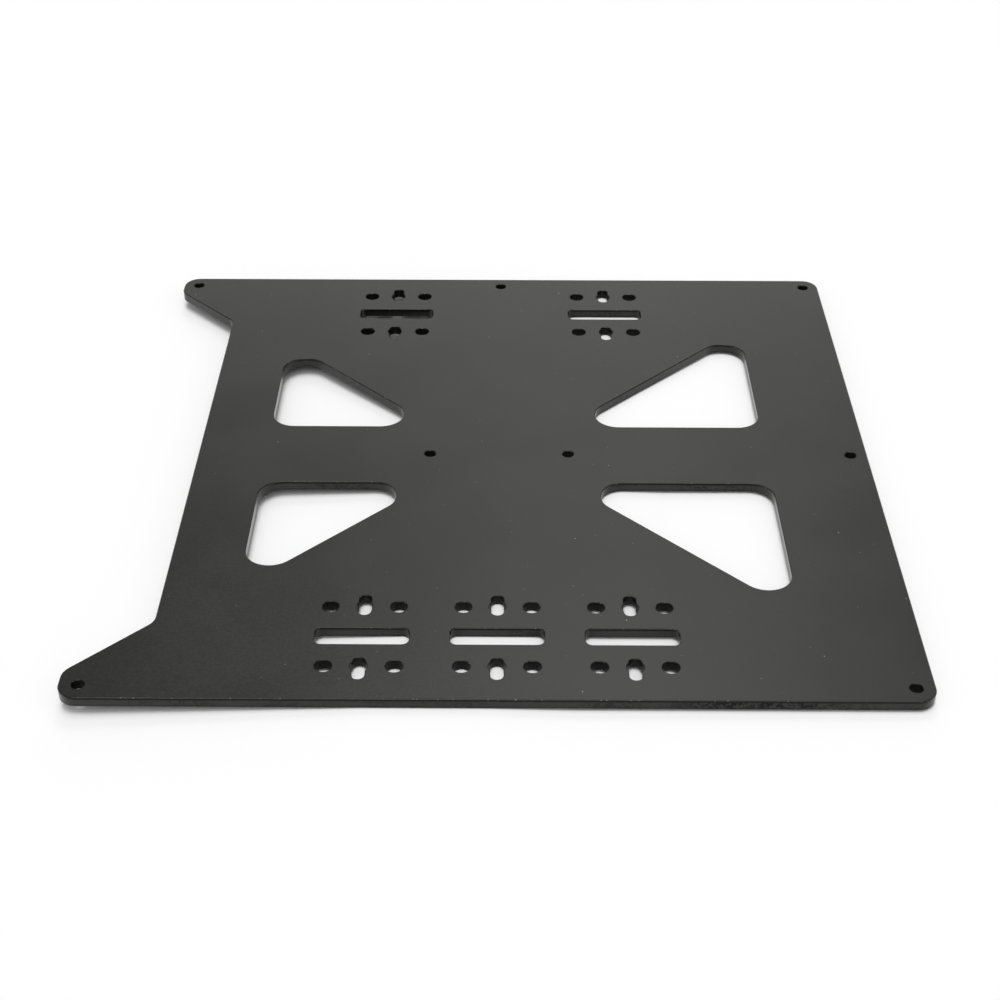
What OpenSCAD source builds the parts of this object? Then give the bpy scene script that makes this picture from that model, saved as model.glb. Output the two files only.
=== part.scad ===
// Y carriage plate: one flat aluminium sheet that carries the heated bed of a
// small 3D printer on two smooth rods. The rods run along X below the plate.
// The origin is the middle of the underside, at the centre of the four bed screws.

/* [Sheet] */
// Side of the square that the plate fills, wings included
plate_size = 219; // [208:1:260]
// Thickness of the sheet
plate_t = 3; // [2:0.5:6]
// Radius of the outer corners
corner_r = 5; // [2:0.5:8]
// Size of the small bevel on every edge
edge_break = 0.2; // [0.1:0.05:0.5]

/* [Notch] */
// Depth of the notch in the left edge, which leaves a wing at each end
notch_depth = 20; // [10:1:28]
// Length of a wing's straight end, where the notch starts
wing_end = 10; // [8:0.5:24]
// Radius in the corners of the notch
notch_r = 5; // [1:0.5:10]

/* [Bed screws] */
// Diameter of the holes for the bed screws
bed_hole_d = 3.4; // [2.5:0.1:4.5]
// Distance from the edge to the middle of a bed screw hole
bed_hole_inset = 5; // [4:0.5:7]

/* [Belt clip] */
// Diameter of the two holes for the belt clip
clip_hole_d = 3.4; // [2.5:0.1:4.5]
// Distance between the two belt clip holes
clip_pitch = 41; // [30:1:56]

/* [Bearing places] */
// Distance between the two rods
rod_spacing = 170; // [150:1:170]
// Distance between neighbouring bearings on one rod
bearing_pitch = 35; // [30:1:40]
// Diameter of the bearing screw holes
bearing_hole_d = 4.5; // [3.2:0.1:5.2]
// Spacing of the bearing screw holes along the rod
bearing_holes_x = 18; // [16:0.5:20]
// Spacing of the bearing screw holes across the rod
bearing_holes_y = 24; // [22:0.5:26]
// Length of the slot that a round bearing nests in
nest_l = 24.5; // [20:0.5:26]
// Width of the slot that a round bearing nests in
nest_w = 6.5; // [5:0.5:8]
// Corner radius of that slot
nest_r = 2; // [1:0.25:2.25]
// Width of the slots for a bearing's cable tie
tie_w = 3.4; // [2.5:0.1:4]
// How far a tie slot reaches from its hole row in towards the rod
tie_in = 3.3; // [2.8:0.1:4]
// How far a tie slot reaches from its hole row away from the rod
tie_out = 4.9; // [3:0.1:6]

/* [Windows] */
// Width of the bar between the upper and the lower windows
bar_w = 30; // [24:1:40]
// Distance between the pointed ends of the left and the right windows
tip_gap = 39; // [34:1:48]
// Width of the border between the left edge and its windows
left_border = 20; // [12:1:28]
// Width of the border between the right edge and its windows
right_border = 30; // [16:1:40]
// Corner radius of the windows
window_r = 7; // [3:0.5:9]

/* [Hidden] */
$fn = 96;

// The right and left edges of the sheet, away from the wings
outer = plate_size / 2;
left_edge = outer - notch_depth;

// How far the cuts run past both faces of the sheet
over = 1;
// How much a straight side stays inside the arcs that it joins, so that they
// cross cleanly
ease = 0.001;
// How deep a straight side reaches back into the shape that it borders
lap = 0.5;

// A side that turns off at 45 degrees makes a corner of 135 degrees. This share
// of the radius is the distance from that corner to the start of its arc, and
// the other is the same for the pointed corner of a window
blunt = tan(22.5);
pointed = 1 / blunt;

// Where the notch's slanted sides leave the left end of the sheet
slant_start = outer - wing_end;

// The places of the holes and the bearings
bed_hole_at = outer - bed_hole_inset;
rod_y = rod_spacing / 2;
back_bearings = [-bearing_pitch, bearing_pitch];
front_bearings = [-bearing_pitch, 0, bearing_pitch];
tie_row = bearing_holes_y / 2;
tie_r = tie_w / 2;

// The section of a bevelled wall at distance r, from x = start, through the
// sheet. With lean -1 the bevels draw in, as on an outer edge, and with lean 1
// they flare out, as in a cut. It runs past the faces of the sheet by past
function section(r, start, lean, past) = [
    [start, -past],
    [r + lean * (edge_break + past), -past],
    [r, edge_break],
    [r, plate_t - edge_break],
    [r + lean * (edge_break + past), plate_t + past],
    [start, plate_t + past]
];

// A flat shape with round corners of radius r and bevelled walls, given by the
// centres of its corners, listed anticlockwise. One centre makes a disc, two
// make a long slot, and more make a rounded polygon
module rounded(centres, r, lean, past) {
    count = len(centres);
    if (count > 2)
        translate([0, 0, -past]) linear_extrude(plate_t + 2 * past) polygon(centres);
    if (count > 1)
        for (i = [0 : count - 1])
            side(centres[i], centres[(i + 1) % count], section(r - ease, -lap, lean, past));
    for (c = centres)
        translate(c) rotate_extrude() polygon(section(r, 0, lean, past));
}

// One straight side of such a shape, with its wall on the right of the way
module side(from, to, wall) {
    way = to - from;
    translate(to)
        rotate([90, 0, atan2(way[1], way[0]) - 90])
            linear_extrude(norm(way)) polygon(wall);
}

// An opening through the sheet
module opening(centres, r) {
    rounded(centres, r, 1, over);
}

// The corner centres of a rectangle with corners of radius r
function box_centres(x0, x1, y0, y1, r) = [
    [x0 + r, y0 + r], [x1 - r, y0 + r], [x1 - r, y1 - r], [x0 + r, y1 - r]
];

// The end of a ray of length r from the middle, turned anticlockwise from +X
function ray(r, turn) = [r * cos(turn), r * sin(turn)];

// The square that the plate is cut from
module square_sheet() {
    rounded(box_centres(-outer, outer, -outer, outer, corner_r), corner_r, -1, 0);
}

// The notch in the left edge, with slanted sides that run on past the sheet
module notch() {
    floor_x = -left_edge - notch_r;
    floor_y = slant_start - notch_depth - notch_r * blunt;
    run = notch_depth + 2 * notch_r;
    opening([
        [floor_x, -floor_y], [floor_x, floor_y],
        [floor_x - run, floor_y + run], [floor_x - run, -floor_y - run]
    ], notch_r);
}

// What comes off the corner between the end of the back wing and its slanted
// side: a kite outside the corner's arc
module wing_corner() {
    reach = corner_r + 2 * edge_break;
    kite = [[0, 0], ray(reach, 180), ray(reach / cos(22.5), 202.5), ray(reach, 225)];
    translate([-outer + corner_r, slant_start + corner_r * blunt])
        difference() {
            translate([0, 0, -over]) linear_extrude(plate_t + 2 * over) polygon(kite);
            rotate_extrude() polygon(section(corner_r + 2 * ease, 0, -1, over));
        }
}

// A round hole
module hole(d) {
    opening([[0, 0]], d / 2);
}

// The six holes for the bed screws: four corners, back edge and right edge
module bed_holes() {
    for (x = [-1, 1], y = [-1, 1])
        translate([x, y] * bed_hole_at) hole(bed_hole_d);
    translate([0, bed_hole_at]) hole(bed_hole_d);
    translate([bed_hole_at, 0]) hole(bed_hole_d);
}

// The two holes for the belt clip, in the middle of the plate
module clip_holes() {
    for (x = [-1, 1]) translate([x * clip_pitch / 2, 0]) hole(clip_hole_d);
}

// A hole with a narrower slot through it, for a screw or a cable tie
module tie_keyhole() {
    hole(bearing_hole_d);
    opening([[0, -tie_in + tie_r], [0, tie_out - tie_r]], tie_r);
}

// The openings for one bearing: four screw holes, two keyholes and the nest
module bearing_place() {
    for (x = [-1, 1], y = [-1, 1])
        translate([x * bearing_holes_x, y * bearing_holes_y] / 2) hole(bearing_hole_d);
    for (turn = [0, 180])
        rotate(turn) translate([0, tie_row]) tie_keyhole();
    opening(box_centres(-nest_l / 2, nest_l / 2, -nest_w / 2, nest_w / 2, nest_r), nest_r);
}

// The bearing places: two over the back rod and three over the front one
module bearing_places() {
    for (x = back_bearings) translate([x, rod_y]) bearing_place();
    for (x = front_bearings) translate([x, -rod_y]) bearing_place();
}

// A window at the back right: a right triangle with two equal legs, from its
// pointed end near the middle to the border by the edge
module window(border_x) {
    low = bar_w / 2 + window_r;
    near = tip_gap / 2 + window_r * pointed;
    far = border_x - window_r;
    opening([[near, low], [far, low], [far, low + far - near]], window_r);
}

// The four windows, which leave a cross of bars between the bearings
module windows() {
    for (flip = [0, 1]) mirror([0, flip, 0]) {
        window(outer - right_border);
        mirror([1, 0, 0]) window(left_edge - left_border);
    }
}

module carriage_plate() {
    color("#3b3b3a") difference() {
        square_sheet();
        notch();
        for (flip = [0, 1]) mirror([0, flip, 0]) wing_corner();
        bed_holes();
        clip_holes();
        bearing_places();
        windows();
    }
}

carriage_plate();
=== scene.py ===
# The looks of the y carriage plate: a black anodised sheet on a pale floor, lit
# softly from above, from the front and from behind. Lengths are in metres, angles
# in degrees and colours linear.
import math

import bpy
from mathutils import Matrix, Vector


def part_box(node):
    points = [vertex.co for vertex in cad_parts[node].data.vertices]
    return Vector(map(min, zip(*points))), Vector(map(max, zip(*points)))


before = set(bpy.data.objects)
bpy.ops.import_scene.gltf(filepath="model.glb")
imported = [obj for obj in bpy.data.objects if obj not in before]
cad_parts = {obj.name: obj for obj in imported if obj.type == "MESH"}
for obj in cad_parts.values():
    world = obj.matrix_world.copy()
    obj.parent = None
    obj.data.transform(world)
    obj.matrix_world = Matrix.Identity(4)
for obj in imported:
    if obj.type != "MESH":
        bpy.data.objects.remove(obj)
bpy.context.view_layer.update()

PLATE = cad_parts["carriage_plate"]

# The camera, in the photograph's square frame. Its lens and sensor are in
# millimetres
CAMERA_AT = (0.0021, -0.43525, 0.2927)
CAMERA_TURN = (54.841, -0.0895, 0.3013)
LENS = 63.185
SENSOR = 36.0
CAMERA_REACH = 50.0

# The floor: how far it goes, its grey, and its grey to the camera alone, where it
# comes out white
FLOOR_REACH = 6.0
FLOOR_GREY = 0.97
FLOOR_SEEN = 1.008
# Points across the floor, and its height there from the plate's underside. It
# almost touches the plate along the middle and falls a little to the right and
# further to the left, where the real plate stands off it. All this is turned by
# FLOOR_TURN
FLOOR_PROFILE = (
    (-0.076, -0.0036), (0.0, -0.00015), (0.030, -0.00015), (0.050, -0.0008),
)
FLOOR_TURN = 17.0

# The studio's own light is brighter in front than behind, and changes over
# between these sines of the angle from the side. Gloss reflects an even grey
# instead, above a white backdrop, which fades out between these sines of height
SKY_FRONT, SKY_BACK = 0.46, 0.14
SKY_SIDE = (-0.35, 0.35)
SKY_GLOSS = 0.30
SKY_WHITE = 1.0
BACKDROP_TOP = (0.10, 0.22)
# Each lamp's share of the floor's light, its azimuth from the back (+Y) towards
# the right (+X), its height and its width
LAMPS = {
    "overhead_back": (0.15, 0.0, 84.0, 22.0),
    "overhead_front": (0.28, 180.0, 74.0, 24.0),
    "front_softbox": (0.18, 180.0, 52.0, 46.0),
    "back_softbox": (0.0614, 5.0, 51.0, 20.0),
    "back_strip": (0.0063, 5.0, 38.0, 16.0),
    "back_glow": (0.0161, 0.0, 9.0, 44.0),
}

# The black anodised finish: its colours, how it tints gloss, and its roughness.
# Some of the gloss tints below are painted shade
BLACK = (0.0072, 0.0074, 0.0060)
PALE_BLACK = (0.0170, 0.0172, 0.0145)
CUT_BLACK = (0.0045, 0.0045, 0.0043)
DUST = (0.45, 0.44, 0.41)
NICK = (0.16, 0.16, 0.155)
REFRACTION = 1.5
FACE_TINT = (0.797, 0.801, 0.770)
# Painted shade: the bevels reflect less than the faces, and those on the left and right
# far less
BEVEL_SHADE_TINT = (0.66, 0.66, 0.65)
SIDE_BEVEL_SHADE_TINT = (0.20, 0.20, 0.20)
CUT_TINT = (1.0, 1.0, 0.97)
STAIN_TINT = (0.16, 0.16, 0.16)
# Painted shade: the gloss in the dark bands of the walls
SHADE_BAND_TINT = (0.20, 0.20, 0.20)
# Painted shade: the gloss of the walls in the small holes, turned down
HOLE_SHADE_TINT = (0.12, 0.12, 0.12)
FACE_ROUGHNESS = (0.287, 0.313)
CUT_ROUGHNESS = (0.10, 0.24)
HOLE_ROUGHNESS = 0.55
# Which surfaces count as flat faces, as faces with their bevels, as bevels on the
# left and right, and as walls with painted shade bands: how squarely one has to
# face its axis to start to count, and to count in full
FLAT_FACING = (0.80, 0.95)
OUTER_FACING = (0.3, 0.6)
SIDE_FACING = (0.3, 0.6)
SHADE_BAND_FACING = (0.75, 0.97)
# Each noise has its size and detail, and spreads about this middle. A range is
# the part of a noise over which what it drives sets in or fades out
MIDDLE = 0.5
# Faint clouds and a fine grain. Towards the front left wing the grain is painted
# stronger, as the flicker of the sheen where the highlight falls off: where that
# sets in and is full, as x + y, and the grain's strength elsewhere and there
CLOUD_NOISE = (0.030, 3.0)
CLOUD_RANGE = (0.3, 0.7)
CLOUD_STRENGTH = 0.40
GRAIN_NOISE = (0.0008, 2.0)
GRAIN_SHEEN_WING = (-0.060, -0.175)
GRAIN_AND_SHEEN_STRENGTH = (0.3, 3.2)
GRAIN_DEPTH = 0.000008
# The cut walls: fine stains, gathered in weaker patches along them and in full on
# the right of the front wall, where they set in and fade out at these x
CUT_NOISE = (0.0007, 3.0)
CUT_DEPTH = 0.00001
STAIN_RANGE = (0.46, 0.56)
PATCH_NOISE = (0.022, 1.0)
PATCH_RANGE = (0.42, 0.62)
PATCH_STRENGTH = 0.55
FRONT_WALL = -0.108
FRONT_STAINS = ((0.036, 0.054), (0.076, 0.096))
# Pale nicks on the bevels
NICK_NOISE = (0.0006, 1.0)
NICK_RANGE = (0.66, 0.72)
# The dark bands of a cut wall are painted: the upper one as the dark reflection
# of a rolled top edge, the lower one as shade near the floor. For each, the
# height where it sets in, where it is full, and how full it gets
UPPER_SHADE_BAND = (0.0020, 0.0025, 1.0)
LOWER_SHADE_BAND = (0.0009, 0.0003, 0.5)
# How far stains shift the bands up or down
SHADE_BAND_WOBBLE = 0.0006
# How near the opposite wall has to be for a wall to count as a wall of the small
# holes, the rays that look for it, and the share of them that get away where a
# wall starts to count less and where it no longer counts. In the small holes the
# walls' gloss is turned down: painted shade
HOLE_REACH = 0.006
HOLE_RAYS = 6
HOLE_OPEN = (0.60, 0.90)
# Dust, coarse and fine: the size of a cell that may hold a speck, the share of
# the cells that hold one, and the radius of the largest speck
SPECKS = {
    "coarse": (0.0125, 0.16, 0.00018),
    "fine": (0.0048, 0.20, 0.00009),
}
# The smallest speck beside the largest, and the faintest beside the palest
SPECK_SMALLEST = 0.45
SPECK_FAINTEST = 0.3
# How far the pattern of the specks moves for each metre from face to face
SPECK_SHEAR = 31.0


def add_camera():
    data = bpy.data.cameras.new("camera")
    data.sensor_width = SENSOR
    data.lens = LENS
    data.clip_end = CAMERA_REACH
    camera = bpy.data.objects.new("camera", data)
    camera.location = CAMERA_AT
    camera.rotation_euler = [math.radians(a) for a in CAMERA_TURN]
    bpy.context.scene.collection.objects.link(camera)
    bpy.context.scene.camera = camera


class Tree:
    """The nodes of a material or world, made by short calls that return sockets."""

    def __init__(self, owner):
        self.owner = owner
        owner.use_nodes = True
        self.nodes, self.links = owner.node_tree.nodes, owner.node_tree.links
        self.place = self.nodes.new("ShaderNodeTexCoord").outputs

    def put(self, socket, value):
        """Links a socket to another one, or sets it to a number or a colour."""
        if isinstance(value, bpy.types.NodeSocket):
            self.links.new(value, socket)
        elif isinstance(value, tuple):
            socket.default_value = (*value, 1)
        else:
            socket.default_value = value

    def apart(self, vector):
        node = self.nodes.new("ShaderNodeSeparateXYZ")
        self.put(node.inputs[0], vector)
        return node.outputs

    def math(self, operation, a, b=0.0, clamp=False):
        node = self.nodes.new("ShaderNodeMath")
        node.operation = operation
        node.use_clamp = clamp
        self.put(node.inputs[0], a)
        self.put(node.inputs[1], b)
        return node.outputs[0]

    def blend(self, share, a, b):
        """A colour that goes from a to b as share goes from 0 to 1."""
        node = self.nodes.new("ShaderNodeMix")
        node.data_type = "RGBA"
        self.put(node.inputs[0], share)
        self.put(node.inputs[6], a)
        self.put(node.inputs[7], b)
        return node.outputs[2]

    def mix(self, share, a, b):
        """A number that goes from a to b as share goes from 0 to 1."""
        node = self.nodes.new("ShaderNodeMix")
        self.put(node.inputs[0], share)
        self.put(node.inputs[2], a)
        self.put(node.inputs[3], b)
        return node.outputs[0]

    def span(self, value, low, high, to_low=0.0, to_high=1.0):
        """The value, taken smoothly from low..high to to_low..to_high."""
        node = self.nodes.new("ShaderNodeMapRange")
        node.interpolation_type = "SMOOTHSTEP"
        for socket, number in zip(node.inputs, (value, low, high, to_low, to_high)):
            self.put(socket, number)
        return node.outputs[0]

    def noise(self, size, detail):
        node = self.nodes.new("ShaderNodeTexNoise")
        self.put(node.inputs["Vector"], self.place["Object"])
        self.put(node.inputs["Scale"], 1 / size)
        self.put(node.inputs["Detail"], detail)
        return node.outputs["Fac"]

    def bump(self, height, depth, before=None):
        node = self.nodes.new("ShaderNodeBump")
        self.put(node.inputs["Height"], height)
        self.put(node.inputs["Distance"], depth)
        if before:
            self.put(node.inputs["Normal"], before)
        return node.outputs["Normal"]


def floor_material():
    """White, and to the camera alone a little whiter, with its shadows kept."""
    tree = Tree(bpy.data.materials.new("floor"))
    tree.nodes.remove(tree.nodes["Principled BSDF"])
    rays = tree.nodes.new("ShaderNodeLightPath").outputs
    paint = tree.nodes.new("ShaderNodeBsdfDiffuse")
    shade = tree.blend(rays["Is Camera Ray"], (FLOOR_GREY,) * 3, (FLOOR_SEEN,) * 3)
    tree.put(paint.inputs["Color"], shade)
    tree.put(tree.nodes["Material Output"].inputs["Surface"], paint.outputs[0])
    return tree.owner


def add_floor():
    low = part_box("carriage_plate")[0].z
    left, right = FLOOR_PROFILE[0][1], FLOOR_PROFILE[-1][1]
    profile = [(-FLOOR_REACH, left), *FLOOR_PROFILE, (FLOOR_REACH, right)]
    points = [(x, y, low + z) for x, z in profile for y in (-FLOOR_REACH, FLOOR_REACH)]
    strips = [(2 * i, 2 * i + 2, 2 * i + 3, 2 * i + 1) for i in range(len(profile) - 1)]
    mesh = bpy.data.meshes.new("floor")
    mesh.from_pydata(points, [], strips)
    mesh.materials.append(floor_material())
    floor = bpy.data.objects.new("floor", mesh)
    floor.rotation_euler.z = math.radians(-FLOOR_TURN)
    bpy.context.scene.collection.objects.link(floor)


def add_lamp(name, share, azimuth, height, width):
    turn, rise = math.radians(azimuth), math.radians(height)
    level = Vector((math.sin(turn), math.cos(turn), 0)) * math.cos(rise)
    towards = level + Vector((0, 0, math.sin(rise)))
    data = bpy.data.lights.new(name, "SUN")
    data.energy = math.pi * share / math.sin(rise)
    data.angle = math.radians(width)
    lamp = bpy.data.objects.new(name, data)
    lamp.rotation_euler = towards.to_track_quat("Z", "Y").to_euler()
    bpy.context.scene.collection.objects.link(lamp)


def add_sky():
    """The studio's own light, with a low white backdrop that gloss reflects. To
    the camera it is white all the way up."""
    tree = Tree(bpy.data.worlds.new("studio"))
    rays = tree.nodes.new("ShaderNodeLightPath").outputs
    towards = tree.apart(tree.place["Generated"])
    backdrop = tree.span(towards["Z"], *BACKDROP_TOP, 1.0, 0.0)
    light = tree.span(towards["Y"], *SKY_SIDE, SKY_FRONT, SKY_BACK)
    gloss = tree.mix(backdrop, SKY_GLOSS, SKY_WHITE)
    mirrored = tree.math("MAXIMUM", rays["Is Glossy Ray"], rays["Is Transmission Ray"])
    unseen = tree.mix(mirrored, light, gloss)
    shade = tree.mix(rays["Is Camera Ray"], unseen, SKY_WHITE)
    tree.put(tree.nodes["Background"].inputs["Color"], shade)
    bpy.context.scene.world = tree.owner


def facing_share(tree, axis, low, high):
    """0 where a surface faces away from an axis, and 1 where it faces along it,
    either way. It sets in at low and is full at high."""
    along = tree.math("ABSOLUTE", tree.apart(tree.place["Normal"])[axis])
    return tree.span(along, low, high)


def shade_band_share(tree, cut):
    """1 close to the upper edge of a cut wall that faces the front or the back,
    less at the lower edge, and 0 between. This is where painted dark reflection
    and painted shade darken the wall's gloss"""
    wobble = tree.math("MULTIPLY", tree.math("SUBTRACT", cut, MIDDLE), SHADE_BAND_WOBBLE)
    height = tree.math("ADD", tree.apart(tree.place["Object"])["Z"], wobble)
    upper, lower = [
        tree.span(height, start, end, 0.0, full)
        for start, end, full in (UPPER_SHADE_BAND, LOWER_SHADE_BAND)
    ]
    edges = tree.math("MAXIMUM", upper, lower)
    return tree.math("MULTIPLY", edges, facing_share(tree, "Y", *SHADE_BAND_FACING))


def stain_share(tree):
    """How far stains gather at a place."""
    at = tree.apart(tree.place["Object"])
    patches = tree.span(tree.noise(*PATCH_NOISE), *PATCH_RANGE, 0.0, PATCH_STRENGTH)
    left_end, right_end = FRONT_STAINS
    sets_in = tree.span(at["X"], *left_end)
    fades_out = tree.span(at["X"], *right_end, 1.0, 0.0)
    on_front = tree.math("LESS_THAN", at["Y"], FRONT_WALL)
    front = tree.math("MULTIPLY", on_front, tree.math("MULTIPLY", sets_in, fades_out))
    return tree.math("MAXIMUM", patches, front)


def grain_and_sheen_strength(tree):
    """How strong the grain is at a place, with painted sheen flicker towards the
    front left wing.
    """
    at = tree.apart(tree.place["Object"])
    return tree.span(tree.math("ADD", at["X"], at["Y"]), *GRAIN_SHEEN_WING, *GRAIN_AND_SHEEN_STRENGTH)


def hole_shade_share(tree):
    """1 in the small holes, where the walls shade each other, and 0 elsewhere. It
    carries painted shade into their walls' gloss, and sets their roughness
    """
    shade = tree.nodes.new("ShaderNodeAmbientOcclusion")
    shade.only_local = True
    shade.samples = HOLE_RAYS
    tree.put(shade.inputs["Distance"], HOLE_REACH)
    return tree.span(shade.outputs["AO"], *HOLE_OPEN, 1.0, 0.0)


def specks(tree, cell, share, radius):
    """Specks of dust, one at a random place in some cells of a flat grid."""
    at = tree.apart(tree.place["Object"])
    flat = tree.nodes.new("ShaderNodeCombineXYZ")
    shift = tree.math("MULTIPLY", at["Z"], SPECK_SHEAR)
    tree.put(flat.inputs["X"], tree.math("ADD", at["X"], shift))
    tree.put(flat.inputs["Y"], at["Y"])
    grid = tree.nodes.new("ShaderNodeTexVoronoi")
    grid.voronoi_dimensions = "2D"
    tree.put(grid.inputs["Vector"], flat.outputs[0])
    tree.put(grid.inputs["Scale"], 1 / cell)
    lot = tree.nodes.new("ShaderNodeSeparateColor")
    tree.put(lot.inputs[0], grid.outputs["Color"])
    held = tree.math("LESS_THAN", lot.outputs[0], share)
    smallest, largest = SPECK_SMALLEST * radius / cell, radius / cell
    size = tree.span(lot.outputs[1], 0.0, 1.0, smallest, largest)
    near = tree.math("LESS_THAN", grid.outputs["Distance"], size)
    pale = tree.span(lot.outputs[2], 0.0, 1.0, SPECK_FAINTEST, 1.0)
    return tree.math("MULTIPLY", tree.math("MULTIPLY", held, near), pale)


def anodised_material():
    tree = Tree(bpy.data.materials.new("black_anodised"))
    shader = tree.nodes["Principled BSDF"].inputs
    flat = facing_share(tree, "Z", *FLAT_FACING)
    outer = facing_share(tree, "Z", *OUTER_FACING)
    cloud = tree.span(tree.noise(*CLOUD_NOISE), *CLOUD_RANGE)
    grain = tree.noise(*GRAIN_NOISE)
    cut = tree.noise(*CUT_NOISE)
    spots = tree.span(cut, *STAIN_RANGE, 1.0, 0.0)
    stains = tree.math("MULTIPLY", stain_share(tree), spots)
    shade_band, hole_shade = shade_band_share(tree, cut), hole_shade_share(tree)

    clouds = tree.math("MULTIPLY", tree.math("SUBTRACT", cloud, MIDDLE), CLOUD_STRENGTH)
    spread = tree.math("SUBTRACT", grain, MIDDLE)
    # The grain, painted stronger towards the front left wing as sheen flicker
    grains_and_sheen = tree.math("MULTIPLY", spread, grain_and_sheen_strength(tree))
    tone = tree.math("ADD", tree.math("ADD", clouds, grains_and_sheen), MIDDLE, clamp=True)
    colour = tree.blend(outer, CUT_BLACK, tree.blend(tone, BLACK, PALE_BLACK))
    bevels = tree.math("SUBTRACT", outer, flat)
    nicks = tree.span(tree.noise(*NICK_NOISE), *NICK_RANGE)
    colour = tree.blend(tree.math("MULTIPLY", bevels, nicks), colour, NICK)
    for cell, share, radius in SPECKS.values():
        dust = tree.math("MULTIPLY", outer, specks(tree, cell, share, radius))
        colour = tree.blend(dust, colour, DUST)
    tree.put(shader["Base Color"], colour)

    walls = tree.blend(stains, CUT_TINT, STAIN_TINT)
    # Painted shade: dark bands along the upper and lower edges of walls facing the
    # front or back
    walls = tree.blend(shade_band, walls, SHADE_BAND_TINT)
    # Painted shade in the small holes: their walls' gloss turned down
    walls = tree.blend(hole_shade, walls, HOLE_SHADE_TINT)
    sideways = facing_share(tree, "X", *SIDE_FACING)
    # Painted shade: the bevels' gloss turned down, most on the left and right
    bevel_shade = tree.blend(sideways, BEVEL_SHADE_TINT, SIDE_BEVEL_SHADE_TINT)
    gloss = tree.blend(outer, walls, tree.blend(flat, bevel_shade, FACE_TINT))
    tree.put(shader["Specular Tint"], gloss)

    face_rough = tree.span(cloud, 0.0, 1.0, *FACE_ROUGHNESS)
    wall_rough = tree.span(stains, 0.0, 1.0, *CUT_ROUGHNESS)
    cut_rough = tree.mix(hole_shade, wall_rough, HOLE_ROUGHNESS)
    tree.put(shader["Roughness"], tree.mix(outer, cut_rough, face_rough))

    wall_height = tree.math("MULTIPLY", cut, tree.math("SUBTRACT", 1.0, outer))
    bumps = tree.bump(wall_height, CUT_DEPTH, tree.bump(grain, GRAIN_DEPTH))
    tree.put(shader["Normal"], bumps)
    tree.put(shader["IOR"], REFRACTION)
    return tree.owner


def dress_plate():
    material = anodised_material()
    for slot in PLATE.material_slots:
        slot.material = material


add_camera()
add_floor()
for lamp_name, lamp in LAMPS.items():
    add_lamp(lamp_name, *lamp)
add_sky()
dress_plate()
bpy.context.scene.view_settings.view_transform = "Standard"
